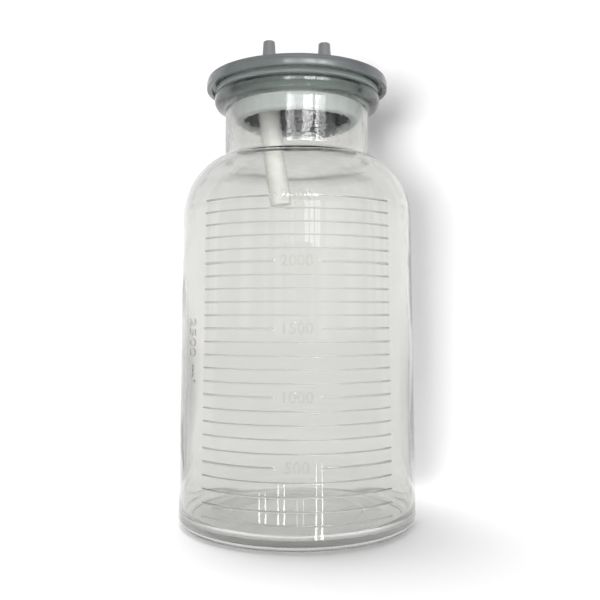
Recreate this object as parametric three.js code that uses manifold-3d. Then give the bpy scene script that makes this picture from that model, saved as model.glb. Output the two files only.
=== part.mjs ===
// Glass collection jar of a medical suction unit: a 2500 ml jar closed by a silicone
// stopper and a round plastic lid that carries two hose connectors, a drop tube and an
// overflow valve with a float.
// Millimetres, +Z up. The origin is the centre of the face that the jar rests on.

import * as THREE from 'three';
import { mergeVertices } from 'three/addons/utils/BufferGeometryUtils.js';
import Module from 'manifold-3d';

const wasm = await Module();
wasm.setup();

// ---- Driving dimensions ----------------------------------------------------------

const GAP = 0.3; // clearance between neighbouring pieces
const CUT_OVERSHOOT = 1; // how far a cutting or joining solid runs past the face it meets

// Glass jar
const BODY_R = 70.2;
const WALL = 3.3;
const HEEL_ROUND = 6;
const REST_INNER_R = 53;
const PUSH_UP = 3; // hollow under the centre of the base
const FLOOR_Z = 5.2;
const FLOOR_CROWN_Z = 7.5;
const FLOOR_ROUND = 7;
const SHOULDER_Z = 180.7;
const SHOULDER_ARC_R = 42.3;
const SHOULDER_ARC_DEG = 49.8;
const UPPER_ARC_R = 22.4;
const UPPER_ARC_DEG = 72.1;
const NECK_FILLET_R = 3.6;
const JAR_TOP_Z = 258.7;
const BEAD_R = 52;
const BEAD_HEIGHT = 9.6;
const BEAD_ROUND = 5.2;
const BEAD_ROUND_DROP = 4; // from the jar's top down to the centre of the bead's round
const BEAD_ROUND_START_DEG = -65;
const BEAD_EDGE_ROUND = 1.5;
const MOUTH_CHAMFER = 1.3;

// Raised graduation lines, one for each 100 ml up to 2500 ml, on the -Y side
const LINE_COUNT = 25;
const LINE_FIRST_Z = 13.9;
const LINE_LAST_Z = 185;
const LINE_HALF_DEG = 46.5;
const LINE_RISE = 0.4;
const LINE_BEVEL = 0.2;
const LINE_WIDTH = 0.9;
const LONG_LINE_WIDTH = 1.4; // at each 500 ml
const LINES_PER_LONG_LINE = 5;
const LINE_ROOT_DEPTH = 1; // how far a line's solid reaches into the wall

// Silicone stopper
const PLUG_TOP_R = 41.3;
const PLUG_BOTTOM_R = 39.4;
const PLUG_BOTTOM_Z = 241;
const PLUG_LIP_ROUND = 2.5;
const LIP_BORE_R = 33.3;
const LIP_TOP_Z = 244.9;
const SEAL_BORE_R = 36.6;
const FLANGE_R = 51.3;
const FLANGE_THICKNESS = 4.2;
const FLANGE_EDGE = 0.5;

// Lid
const LID_R = 57;
const LID_UPPER_R = 56.5;
const LID_TOP_Z = 268.5;
const LID_STEP_Z = 265.8;
const LID_RIM_BOTTOM_Z = 261.5;
const LID_RIM_INNER_R = 53.7;
const LID_RIDGE_INNER_R = 52.5;
const LID_PLATE_TOP_Z = 267.3;
const LID_EDGE_ROUND = 1.4;
const SKIRT_INNER_R = 34.5;
const LID_TURN_DEG = 5.6; // how the lid happens to sit about the jar's axis

// Hose connectors, one on each side of the lid's centre
const PORT_OFFSET = 17.8;
const SHANK_R = 4.85;
const SHANK_HOLE_R = SHANK_R + GAP;
const LUMEN_R = 2.25;
const COLLAR_R = 7.5;
const COLLAR_HEIGHT = 3;
const WASHER_THICKNESS = 1;
const NIPPLE_ROOT_R = 5.1;
const NIPPLE_TIP_R = 3.75;
const NIPPLE_TIP_ROUND = 0.9;
const NIPPLE_TOP_Z = 295;
const SPIGOT_R = 4.2;
const SPIGOT_CHAMFER = 0.6;
const SPIGOT_BOTTOM_Z = 252;
const NUT_ACROSS_FLATS = 15;
const NUT_HEIGHT = 3;

// Drop tube
const TUBE_OUTER_R = 6.6;
const TUBE_BORE_R = SPIGOT_R + GAP;
const TUBE_STRAIGHT_END_Z = 251;
const TUBE_BOTTOM_Z = 189.5;
const TUBE_SWEEP = 7.8; // how far the lower end leans towards the middle
const TUBE_BEND_SHIFT = 0.8;
const TUBE_BEND_DROP = 6;

// Overflow valve
const VALVE_R = 7;
const VALVE_CHAMBER_R = 5.5;
const VALVE_ROOF_Z = 256;
const VALVE_BOTTOM_Z = 239;
const VACUUM_SHANK_BOTTOM_Z = 255;
const WINDOW_WIDTH = 3.4;
const WINDOW_BOTTOM_Z = 245;
const WINDOW_HEIGHT = 7;
const SEAT_THICKNESS = 1.2;
const SEAT_HOLE_R = 1.6;
const FLOAT_R = 4.9;
const FLOAT_HEIGHT = 5.7;
const FLOAT_NOSE_R = 2.4;
const FLOAT_NOSE_HEIGHT = 1.2;
const CAP_ACROSS_FLATS = 12.8;
const CAP_BOTTOM_Z = 234.5;
const CAP_HEX_TOP_Z = VALVE_BOTTOM_Z - GAP;
const CAP_PLUG_TOP_Z = 241.2;
const CAP_HOLE_R = 2;

// How finely round shapes are faceted
const JAR_FACETS = 48;
const SMALL_FACETS = 20;
const ARC_STEP_DEG = 15;
const TUBE_STEPS = 12;

// ---- Shape helpers ---------------------------------------------------------------

const radians = THREE.MathUtils.degToRad;

// Points of an arc in the profile plane, x being the radius and y the height.
function arc(centreR, centreZ, radius, startDeg, endDeg) {
  const sweepDeg = Math.abs(endDeg - startDeg);
  const steps = Math.max(2, Math.round(sweepDeg / ARC_STEP_DEG));
  const clockwise = endDeg < startDeg;
  const start = radians(startDeg);
  const end = radians(endDeg);
  const curve = new THREE.EllipseCurve(centreR, centreZ, radius, radius, start, end, clockwise);
  return curve.getPoints(steps);
}

function point(r, z) {
  return new THREE.Vector2(r, z);
}

function weld(geometry) {
  geometry.deleteAttribute('normal');
  geometry.deleteAttribute('uv');
  return mergeVertices(geometry);
}

// Turns a profile about +Z. The profile runs up its outside and down its inside.
function revolve(profile, facets) {
  const geometry = new THREE.LatheGeometry(profile, facets);
  geometry.rotateX(Math.PI / 2);
  return weld(geometry);
}

// A turned ring whose profile closes on itself.
function revolveRing(profile, facets) {
  return revolve([...profile, profile[0].clone()], facets);
}

function ring(innerR, outerR, bottomZ, topZ) {
  const corners = [
    point(innerR, bottomZ),
    point(outerR, bottomZ),
    point(outerR, topZ),
    point(innerR, topZ),
  ];
  return revolveRing(corners, SMALL_FACETS);
}

function hexPrism(acrossFlats, holeR, bottomZ, height) {
  const cornerR = acrossFlats / 2 / Math.cos(Math.PI / 6);
  const shape = new THREE.Shape();
  for (let corner = 0; corner < 6; corner += 1) {
    const angle = (corner * Math.PI) / 3;
    const x = cornerR * Math.cos(angle);
    const y = cornerR * Math.sin(angle);
    if (corner === 0) shape.moveTo(x, y);
    else shape.lineTo(x, y);
  }
  shape.closePath();
  shape.holes.push(circlePath(holeR));
  const options = { depth: height, bevelEnabled: false, curveSegments: SMALL_FACETS / 2 };
  const geometry = new THREE.ExtrudeGeometry(shape, options);
  geometry.translate(0, 0, bottomZ);
  return weld(geometry);
}

function circlePath(radius) {
  const path = new THREE.Path();
  path.absarc(0, 0, radius, 0, 2 * Math.PI, true);
  return path;
}

function cylinder(radius, bottomZ, topZ, x) {
  const geometry = new THREE.CylinderGeometry(radius, radius, topZ - bottomZ, SMALL_FACETS);
  geometry.rotateX(Math.PI / 2);
  geometry.translate(x, 0, (bottomZ + topZ) / 2);
  return weld(geometry);
}

function toSolid(geometry) {
  const mesh = new wasm.Mesh({
    numProp: 3,
    vertProperties: new Float32Array(geometry.attributes.position.array),
    triVerts: new Uint32Array(geometry.index.array),
  });
  return new wasm.Manifold(mesh);
}

function toGeometry(solid) {
  const mesh = solid.getMesh();
  const geometry = new THREE.BufferGeometry();
  geometry.setAttribute('position', new THREE.BufferAttribute(mesh.vertProperties, 3));
  geometry.setIndex(new THREE.BufferAttribute(mesh.triVerts, 1));
  return geometry;
}

function cut(geometry, cutters) {
  let solid = toSolid(geometry);
  for (const cutter of cutters) solid = solid.subtract(toSolid(cutter));
  return toGeometry(solid);
}

function keepWithin(geometry, bounds) {
  return toGeometry(toSolid(geometry).intersect(toSolid(bounds)));
}

function join(...geometries) {
  const solids = geometries.map(toSolid);
  return toGeometry(solids.reduce((whole, next) => whole.add(next)));
}

// ---- Materials -------------------------------------------------------------------

function finish(color, roughness, extra = {}) {
  return new THREE.MeshStandardMaterial({ color, roughness, metalness: 0, ...extra });
}

const glass = () => finish(0xd9dcd8, 0.05, { transparent: true, opacity: 0.35 });
const greyPlastic = () => finish(0x7f8585, 0.3);
const silicone = () => finish(0xc9cecb, 0.45);
const tubing = () => finish(0xe2e3de, 0.5);
const blackRubber = () => finish(0x2b2c2d, 0.7);
const floatPlastic = () => finish(0xf0efe8, 0.4);

function piece(name, geometry, material) {
  const mesh = new THREE.Mesh(geometry, material);
  mesh.name = name;
  return mesh;
}

// ---- Glass jar -------------------------------------------------------------------

// The shoulder is two tangent arcs and a hollow fillet that ends on the neck. Their
// centres serve the outside and, with the wall taken off, the inside.
function shoulderCentres() {
  const lower = point(BODY_R - SHOULDER_ARC_R, SHOULDER_Z);
  const step = SHOULDER_ARC_R - UPPER_ARC_R;
  const upper = along(lower, SHOULDER_ARC_DEG, step);
  const fillet = along(upper, UPPER_ARC_DEG, UPPER_ARC_R + NECK_FILLET_R);
  return { lower, upper, fillet };
}

function along(start, degrees, distance) {
  const angle = radians(degrees);
  return point(start.x + distance * Math.cos(angle), start.y + distance * Math.sin(angle));
}

const shoulder = shoulderCentres();
const neckR = shoulder.fillet.x - NECK_FILLET_R;
const neckBoreR = neckR - WALL;

function shoulderLine(inset) {
  const { lower, upper, fillet } = shoulder;
  const toNeckDeg = 180;
  return [
    ...arc(lower.x, lower.y, SHOULDER_ARC_R - inset, 0, SHOULDER_ARC_DEG),
    ...arc(upper.x, upper.y, UPPER_ARC_R - inset, SHOULDER_ARC_DEG, UPPER_ARC_DEG).slice(1),
    ...arc(fillet.x, fillet.y, NECK_FILLET_R + inset, UPPER_ARC_DEG + 180, toNeckDeg).slice(1),
  ];
}

function graduationRing(z, width) {
  const innerR = BODY_R - LINE_ROOT_DEPTH;
  const outerR = BODY_R + LINE_RISE;
  const low = z - width / 2;
  const high = z + width / 2;
  const profile = [
    point(innerR, low),
    point(BODY_R, low),
    point(outerR, low + LINE_BEVEL),
    point(outerR, high - LINE_BEVEL),
    point(BODY_R, high),
    point(innerR, high),
  ];
  return revolveRing(profile, JAR_FACETS);
}

// A wedge that opens towards -Y, from the jar's axis out past its wall.
function frontWedge() {
  const reach = 2 * BODY_R;
  const halfAngle = radians(LINE_HALF_DEG);
  const side = reach * Math.tan(halfAngle);
  const shape = new THREE.Shape([point(0, 0), point(-side, -reach), point(side, -reach)]);
  return weld(new THREE.ExtrudeGeometry(shape, { depth: JAR_TOP_Z, bevelEnabled: false }));
}

function graduationLines() {
  const pitch = (LINE_LAST_Z - LINE_FIRST_Z) / (LINE_COUNT - 1);
  const rings = [];
  for (let line = 1; line <= LINE_COUNT; line += 1) {
    const width = line % LINES_PER_LONG_LINE === 0 ? LONG_LINE_WIDTH : LINE_WIDTH;
    rings.push(graduationRing(LINE_FIRST_Z + pitch * (line - 1), width));
  }
  return keepWithin(join(...rings), frontWedge());
}

function buildJar() {
  const boreR = BODY_R - WALL;
  const beadCentreR = BEAD_R - BEAD_ROUND;
  const beadCentreZ = JAR_TOP_Z - BEAD_ROUND_DROP;
  const outside = [
    point(0, PUSH_UP),
    point(REST_INNER_R - PUSH_UP, PUSH_UP),
    point(REST_INNER_R, 0),
    ...arc(BODY_R - HEEL_ROUND, HEEL_ROUND, HEEL_ROUND, -90, 0),
    ...shoulderLine(0),
    point(neckR, JAR_TOP_Z - BEAD_HEIGHT),
    ...arc(beadCentreR, beadCentreZ, BEAD_ROUND, BEAD_ROUND_START_DEG, 0),
    point(BEAD_R, JAR_TOP_Z - BEAD_EDGE_ROUND),
    point(BEAD_R - BEAD_EDGE_ROUND, JAR_TOP_Z),
  ];
  const inside = [
    point(neckBoreR + MOUTH_CHAMFER, JAR_TOP_Z),
    point(neckBoreR, JAR_TOP_Z - MOUTH_CHAMFER),
    ...shoulderLine(WALL).reverse(),
    ...arc(boreR - FLOOR_ROUND, FLOOR_Z + FLOOR_ROUND, FLOOR_ROUND, 0, -90),
    point(0, FLOOR_CROWN_Z),
  ];
  const vessel = revolve([...outside, ...inside], JAR_FACETS);
  return piece('glass_jar', join(vessel, graduationLines()), glass());
}

// ---- Silicone stopper ------------------------------------------------------------

const flangeTopZ = JAR_TOP_Z + GAP + FLANGE_THICKNESS;

// The lip at the foot of the bore turns in under the lid's skirt.
function buildSeal() {
  const flangeBottomZ = JAR_TOP_Z + GAP;
  const lipZ = PLUG_BOTTOM_Z + PLUG_LIP_ROUND;
  const profile = [
    ...arc(LIP_BORE_R + PLUG_LIP_ROUND, lipZ, PLUG_LIP_ROUND, -180, -90),
    ...arc(PLUG_BOTTOM_R - PLUG_LIP_ROUND, lipZ, PLUG_LIP_ROUND, -90, 0),
    point(PLUG_TOP_R, JAR_TOP_Z - MOUTH_CHAMFER),
    point(PLUG_TOP_R, flangeBottomZ),
    point(FLANGE_R - FLANGE_EDGE, flangeBottomZ),
    point(FLANGE_R, flangeBottomZ + FLANGE_EDGE),
    point(FLANGE_R, flangeTopZ - FLANGE_EDGE),
    point(FLANGE_R - FLANGE_EDGE, flangeTopZ),
    point(SEAL_BORE_R, flangeTopZ),
    point(SEAL_BORE_R, LIP_TOP_Z),
    point(LIP_BORE_R, LIP_TOP_Z),
  ];
  return piece('seal_ring', revolveRing(profile, JAR_FACETS), silicone());
}

// ---- Lid -------------------------------------------------------------------------

const plateBottomZ = flangeTopZ + GAP;

function buildLidCover() {
  const topRoundR = LID_UPPER_R - LID_EDGE_ROUND;
  const ridgeStep = LID_TOP_Z - LID_PLATE_TOP_Z;
  const skirtR = SEAL_BORE_R - GAP;
  const skirtBottomZ = LIP_TOP_Z + GAP;
  const profile = [
    point(0, plateBottomZ),
    point(SKIRT_INNER_R, plateBottomZ),
    point(SKIRT_INNER_R, skirtBottomZ),
    point(skirtR, skirtBottomZ),
    point(skirtR, plateBottomZ),
    point(LID_RIM_INNER_R, plateBottomZ),
    point(LID_RIM_INNER_R, LID_RIM_BOTTOM_Z),
    point(LID_R, LID_RIM_BOTTOM_Z),
    point(LID_R, LID_STEP_Z),
    point(LID_UPPER_R, LID_STEP_Z + (LID_R - LID_UPPER_R)),
    ...arc(topRoundR, LID_TOP_Z - LID_EDGE_ROUND, LID_EDGE_ROUND, 0, 90),
    point(LID_RIDGE_INNER_R, LID_TOP_Z),
    point(LID_RIDGE_INNER_R - ridgeStep, LID_PLATE_TOP_Z),
    point(0, LID_PLATE_TOP_Z),
  ];
  const drills = [-PORT_OFFSET, PORT_OFFSET].map((x) =>
    cylinder(SHANK_HOLE_R, plateBottomZ - CUT_OVERSHOOT, LID_PLATE_TOP_Z + CUT_OVERSHOOT, x),
  );
  return piece('lid_cover', cut(revolve(profile, JAR_FACETS), drills), greyPlastic());
}

// ---- Hose connectors -------------------------------------------------------------

const washerBottomZ = LID_PLATE_TOP_Z + GAP;
const collarBottomZ = washerBottomZ + WASHER_THICKNESS + GAP;
const collarTopZ = collarBottomZ + COLLAR_HEIGHT;
const nutBottomZ = plateBottomZ - GAP - NUT_HEIGHT;

// Everything above the lid, and the shank through it, is alike on both connectors.
function connector(lowerEnd) {
  const tipFlatR = NIPPLE_TIP_R - NIPPLE_TIP_ROUND;
  const tipRoundZ = NIPPLE_TOP_Z - NIPPLE_TIP_ROUND;
  const profile = [
    ...lowerEnd,
    point(SHANK_R, collarBottomZ),
    point(COLLAR_R, collarBottomZ),
    point(COLLAR_R, collarTopZ),
    point(NIPPLE_ROOT_R, collarTopZ),
    ...arc(tipFlatR, tipRoundZ, NIPPLE_TIP_ROUND, 0, 90),
    point(LUMEN_R, NIPPLE_TOP_Z),
  ];
  return revolveRing(profile, SMALL_FACETS);
}

function buildInletConnector() {
  const spigotEnd = [
    point(LUMEN_R, SPIGOT_BOTTOM_Z),
    point(SPIGOT_R - SPIGOT_CHAMFER, SPIGOT_BOTTOM_Z),
    point(SPIGOT_R, SPIGOT_BOTTOM_Z + SPIGOT_CHAMFER),
    point(SPIGOT_R, nutBottomZ),
    point(SHANK_R, nutBottomZ),
  ];
  return piece('inlet_connector', connector(spigotEnd), greyPlastic());
}

function buildVacuumConnector() {
  const plainEnd = [
    point(LUMEN_R, VACUUM_SHANK_BOTTOM_Z),
    point(SHANK_R, VACUUM_SHANK_BOTTOM_Z),
  ];
  return piece('vacuum_connector', connector(plainEnd), greyPlastic());
}

function buildWasher(name) {
  const top = washerBottomZ + WASHER_THICKNESS;
  return piece(name, ring(SHANK_HOLE_R, COLLAR_R, washerBottomZ, top), blackRubber());
}

function buildNut(name) {
  const hex = hexPrism(NUT_ACROSS_FLATS, SHANK_HOLE_R, nutBottomZ, NUT_HEIGHT);
  return piece(name, hex, greyPlastic());
}

// ---- Drop tube -------------------------------------------------------------------

function tubePath() {
  const top = new THREE.Vector3(0, 0, nutBottomZ - 2 * GAP);
  const bendStart = new THREE.Vector3(0, 0, TUBE_STRAIGHT_END_Z);
  const bend = new THREE.Vector3(TUBE_BEND_SHIFT, 0, TUBE_STRAIGHT_END_Z - TUBE_BEND_DROP);
  const end = new THREE.Vector3(TUBE_SWEEP, 0, TUBE_BOTTOM_Z);
  const path = new THREE.CurvePath();
  path.add(new THREE.LineCurve3(top, bendStart));
  path.add(new THREE.QuadraticBezierCurve3(bendStart, bend, end));
  return path;
}

function buildDropTube() {
  const section = new THREE.Shape();
  section.absarc(0, 0, TUBE_OUTER_R, 0, 2 * Math.PI, false);
  section.holes.push(circlePath(TUBE_BORE_R));
  const options = { steps: TUBE_STEPS, curveSegments: SMALL_FACETS / 2, extrudePath: tubePath() };
  const geometry = weld(new THREE.ExtrudeGeometry(section, options));
  return piece('drop_tube', geometry, tubing());
}

// ---- Overflow valve --------------------------------------------------------------

const seatTopZ = VACUUM_SHANK_BOTTOM_Z - GAP;
const floatBottomZ = CAP_PLUG_TOP_Z + GAP;

function buildValveHousing() {
  const topZ = nutBottomZ - 2 * GAP;
  const profile = [
    point(VALVE_CHAMBER_R, VALVE_BOTTOM_Z),
    point(VALVE_R, VALVE_BOTTOM_Z),
    point(VALVE_R, topZ),
    point(SHANK_HOLE_R, topZ),
    point(SHANK_HOLE_R, VALVE_ROOF_Z),
    point(VALVE_CHAMBER_R, VALVE_ROOF_Z),
  ];
  const span = 2 * (VALVE_R + CUT_OVERSHOOT);
  const windowZ = WINDOW_BOTTOM_Z + WINDOW_HEIGHT / 2;
  const slots = [
    new THREE.BoxGeometry(span, WINDOW_WIDTH, WINDOW_HEIGHT),
    new THREE.BoxGeometry(WINDOW_WIDTH, span, WINDOW_HEIGHT),
  ];
  const cutters = slots.map((slot) => weld(slot.translate(0, 0, windowZ)));
  const geometry = cut(revolveRing(profile, SMALL_FACETS), cutters);
  return piece('valve_housing', geometry, greyPlastic());
}

function buildValveSeat() {
  const outerR = VALVE_CHAMBER_R - GAP;
  const bottom = seatTopZ - SEAT_THICKNESS;
  return piece('valve_seat', ring(SEAT_HOLE_R, outerR, bottom, seatTopZ), blackRubber());
}

function buildValveFloat() {
  const noseZ = floatBottomZ + FLOAT_HEIGHT - FLOAT_NOSE_HEIGHT;
  const profile = [
    point(0, floatBottomZ),
    point(FLOAT_R, floatBottomZ),
    point(FLOAT_R, noseZ),
    point(FLOAT_NOSE_R, noseZ + FLOAT_NOSE_HEIGHT),
    point(0, noseZ + FLOAT_NOSE_HEIGHT),
  ];
  return piece('valve_float', revolve(profile, SMALL_FACETS), floatPlastic());
}

function buildValveCap() {
  const plugR = VALVE_CHAMBER_R - GAP;
  const hexHeight = CAP_HEX_TOP_Z - CAP_BOTTOM_Z;
  const hex = hexPrism(CAP_ACROSS_FLATS, CAP_HOLE_R, CAP_BOTTOM_Z, hexHeight);
  const plug = ring(CAP_HOLE_R, plugR, CAP_HEX_TOP_Z - CUT_OVERSHOOT, CAP_PLUG_TOP_Z);
  return piece('valve_cap', join(hex, plug), greyPlastic());
}

// ---- Assembly --------------------------------------------------------------------

function buildInletPort() {
  const port = new THREE.Group();
  port.position.x = -PORT_OFFSET;
  port.add(buildInletConnector(), buildWasher('inlet_washer'), buildNut('inlet_nut'));
  port.add(buildDropTube());
  return port;
}

function buildVacuumPort() {
  const port = new THREE.Group();
  port.position.x = PORT_OFFSET;
  port.add(buildVacuumConnector(), buildWasher('vacuum_washer'), buildNut('vacuum_nut'));
  port.add(buildValveHousing(), buildValveSeat(), buildValveFloat(), buildValveCap());
  return port;
}

function buildLid() {
  const lid = new THREE.Group();
  lid.rotation.z = radians(LID_TURN_DEG);
  lid.add(buildLidCover(), buildInletPort(), buildVacuumPort());
  return lid;
}

const suctionJar = new THREE.Group();
suctionJar.add(buildJar(), buildSeal(), buildLid());

export default suctionJar;
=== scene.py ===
"""Studio scene for the glass suction jar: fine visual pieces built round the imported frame."""

import math

import bpy
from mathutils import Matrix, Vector, noise


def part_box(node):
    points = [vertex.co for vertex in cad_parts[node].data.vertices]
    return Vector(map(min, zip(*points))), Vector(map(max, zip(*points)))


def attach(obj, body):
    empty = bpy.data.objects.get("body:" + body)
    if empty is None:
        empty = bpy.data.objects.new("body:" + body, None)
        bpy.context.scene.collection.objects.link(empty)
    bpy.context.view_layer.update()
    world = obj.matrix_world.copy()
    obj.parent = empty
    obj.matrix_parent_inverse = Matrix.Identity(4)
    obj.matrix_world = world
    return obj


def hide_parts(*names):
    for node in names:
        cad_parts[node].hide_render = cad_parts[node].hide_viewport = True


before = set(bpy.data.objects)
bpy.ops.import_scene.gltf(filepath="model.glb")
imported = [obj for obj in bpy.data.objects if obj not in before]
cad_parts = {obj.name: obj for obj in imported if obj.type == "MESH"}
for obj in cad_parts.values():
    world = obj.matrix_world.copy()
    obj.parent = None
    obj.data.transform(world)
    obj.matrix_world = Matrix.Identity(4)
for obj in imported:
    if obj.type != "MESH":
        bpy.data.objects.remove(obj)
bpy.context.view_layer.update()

MM = 0.001
TURN = 2 * math.pi


# ---- Sizes, from the frame where it has them ------------------------------------------


def centre_of(node):
    low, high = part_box(node)
    return (low + high) / 2


def outer_radius(node):
    low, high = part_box(node)
    return (high.x - low.x) / 2


JAR_R = outer_radius("glass_jar")
JAR_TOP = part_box("glass_jar")[1].z
WALL = 3.3 * MM
HEEL_ROUND = 6 * MM
REST_INNER_R = 53 * MM
PUSH_UP = 3 * MM
FLOOR_Z = 5.2 * MM
FLOOR_CROWN = 7.5 * MM
FLOOR_ROUND = 7 * MM
SHOULDER_Z = 180.7 * MM
LOWER_ARC = 42.3 * MM
LOWER_ARC_DEG = 49.8
UPPER_ARC = 22.4 * MM
UPPER_ARC_DEG = 72.1
NECK_FILLET = 3.6 * MM
BEAD_R = 52 * MM
BEAD_HEIGHT = 9.6 * MM
BEAD_ROUND = 5.2 * MM
BEAD_ROUND_DROP = 4 * MM
KNURL_HEIGHT = 0.35 * MM
WAVE_HEIGHT = 0.28 * MM

LINE_COUNT = 25
LINE_FIRST = 13.9 * MM
LINE_LAST = 185 * MM
LINE_PITCH = (LINE_LAST - LINE_FIRST) / (LINE_COUNT - 1)
LINE_HALF_DEG = 46.5
NUMERAL_GAP_DEG = 10
FADE_DEG = (-0.5, 1.0)  # from just before the end of a line to just past it
WORN_SHARE = 0.6
LINES_PER_NUMERAL = 5
MILLILITRES_PER_LINE = 100
NUMERAL_HEIGHT = 6 * MM
CAPACITY_HEIGHT = 7.4 * MM
CAPACITY_TURN_DEG = 57

INLET = centre_of("inlet_washer")
OUTLET = centre_of("vacuum_washer")
LID_AXIS = Vector((OUTLET.x - INLET.x, OUTLET.y - INLET.y, 0)).normalized()
LID_TURN = math.atan2(LID_AXIS.y, LID_AXIS.x)
SIDE_AXIS = Vector((-LID_AXIS.y, LID_AXIS.x, 0))
SHANK_R = 4.85 * MM
LUMEN_R = 2.25 * MM
SPIGOT_R = 4.2 * MM
VALVE_R = 7 * MM
CHAMBER_R = 5.5 * MM
GAP = 0.3 * MM

JAR_COLUMNS = 360
TURNED_COLUMNS = 192
SMALL_COLUMNS = 96
SHARP_DEG = 38
ON_AXIS = 1e-9


# ---- Shape helpers ---------------------------------------------------------------------


def arc(centre_r, centre_z, radius, start_deg, end_deg, steps):
    """Points of an arc in the profile plane, as (radius, height)."""
    points = []
    for step in range(steps + 1):
        angle = math.radians(start_deg + (end_deg - start_deg) * step / steps)
        points.append((centre_r + radius * math.cos(angle), centre_z + radius * math.sin(angle)))
    return points


def rounded(corners, closed=True, steps=5):
    """Rounds each corner (r, z, fillet) of a profile with an arc of its own fillet radius."""
    points = []
    count = len(corners)
    for index, (r, z, fillet) in enumerate(corners):
        at_end = not closed and index in (0, count - 1)
        if fillet <= 0 or at_end:
            points.append((r, z))
            continue
        here = Vector((r, z))
        before = Vector(corners[index - 1][:2]) - here
        after = Vector(corners[(index + 1) % count][:2]) - here
        points += corner_arc(here, before, after, fillet, steps)
    return points


def corner_arc(here, before, after, fillet, steps):
    half = before.angle(after) / 2
    reach = min(fillet / math.tan(half), before.length * 0.49, after.length * 0.49)
    radius = reach * math.tan(half)
    middle = (before.normalized() + after.normalized()).normalized()
    centre = here + middle * (radius / math.sin(half))
    start = here + before.normalized() * reach - centre
    end = here + after.normalized() * reach - centre
    sweep = start.angle_signed(end)
    points = []
    for step in range(steps + 1):
        turn = -sweep * step / steps
        cos, sin = math.cos(turn), math.sin(turn)
        offset = Vector((start.x * cos - start.y * sin, start.x * sin + start.y * cos))
        points.append(tuple(centre + offset))
    return points


def turned(name, profile, columns, closed, place=(0, 0, 0), shift=None, sharp_deg=SHARP_DEG):
    """Revolves a profile of (r, z) points about a vertical axis through place.

    An open profile starts and ends on the axis. shift(row, angle, r, z) may return a changed
    (r, z) for one vertex, so that ribs, flats and waves are real geometry.
    """
    vertices, rings = [], []
    for row, (r, z) in enumerate(profile):
        if r <= ON_AXIS:
            rings.append([len(vertices)] * columns)
            vertices.append((place[0], place[1], place[2] + z))
            continue
        ring = []
        for column in range(columns):
            angle = TURN * column / columns
            vertex_r, vertex_z = shift(row, angle, r, z) if shift else (r, z)
            ring.append(len(vertices))
            x = place[0] + vertex_r * math.cos(angle)
            y = place[1] + vertex_r * math.sin(angle)
            vertices.append((x, y, place[2] + vertex_z))
        rings.append(ring)
    faces = []
    spans = len(rings) if closed else len(rings) - 1
    for row in range(spans):
        low, high = rings[row], rings[(row + 1) % len(rings)]
        for column in range(columns):
            after = (column + 1) % columns
            corners = [low[column], low[after], high[after], high[column]]
            faces.append(list(dict.fromkeys(corners)))
    return make_piece(name, vertices, faces, sharp_deg)


def make_piece(name, vertices, faces, sharp_deg=SHARP_DEG):
    mesh = bpy.data.meshes.new(name)
    mesh.from_pydata(vertices, [], faces)
    mesh.validate()
    mesh.update()
    piece = bpy.data.objects.new(name, mesh)
    bpy.context.scene.collection.objects.link(piece)
    smooth(piece, sharp_deg)
    return piece


def smooth(piece, sharp_deg):
    piece.data.shade_smooth()
    piece.data.set_sharp_from_angle(angle=math.radians(sharp_deg))


def cut(piece, cutters):
    """Cuts solids out of a piece and removes the cutting solids."""
    for cutter in cutters:
        step = piece.modifiers.new("cut", "BOOLEAN")
        step.operation = "DIFFERENCE"
        step.solver = "EXACT"
        step.object = cutter
    bake_modifiers(piece)
    for cutter in cutters:
        bpy.data.objects.remove(cutter)
    smooth(piece, SHARP_DEG)


def bake_modifiers(piece):
    graph = bpy.context.evaluated_depsgraph_get()
    mesh = bpy.data.meshes.new_from_object(piece.evaluated_get(graph))
    mesh.name = piece.name
    piece.modifiers.clear()
    piece.data = mesh


def hexagon(across_flats):
    """A shift for turned() that pulls the outer rings on to a hexagon set square to the lid."""
    side = math.pi / 3

    def shift(row, angle, r, z):
        if r < across_flats / 2 * 0.8:
            return r, z
        from_flat = (angle - LID_TURN) % side - side / 2
        return r / math.cos(from_flat), z

    return shift


def box_solid(centre, along, half_along, half_across, half_height):
    across = Vector((-along.y, along.x, 0))
    vertices = []
    for dz in (-half_height, half_height):
        for da, dc in ((-1, -1), (1, -1), (1, 1), (-1, 1)):
            corner = Vector(centre) + along * (da * half_along) + across * (dc * half_across)
            vertices.append((corner.x, corner.y, centre[2] + dz))
    faces = [(0, 3, 2, 1), (4, 5, 6, 7), (0, 1, 5, 4), (1, 2, 6, 5), (2, 3, 7, 6), (3, 0, 4, 7)]
    return make_piece("cutter", vertices, faces)


def smoothstep(low, high, value):
    t = min(1.0, max(0.0, (value - low) / (high - low)))
    return t * t * (3 - 2 * t)


# ---- Node material helpers ---------------------------------------------------------------


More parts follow.
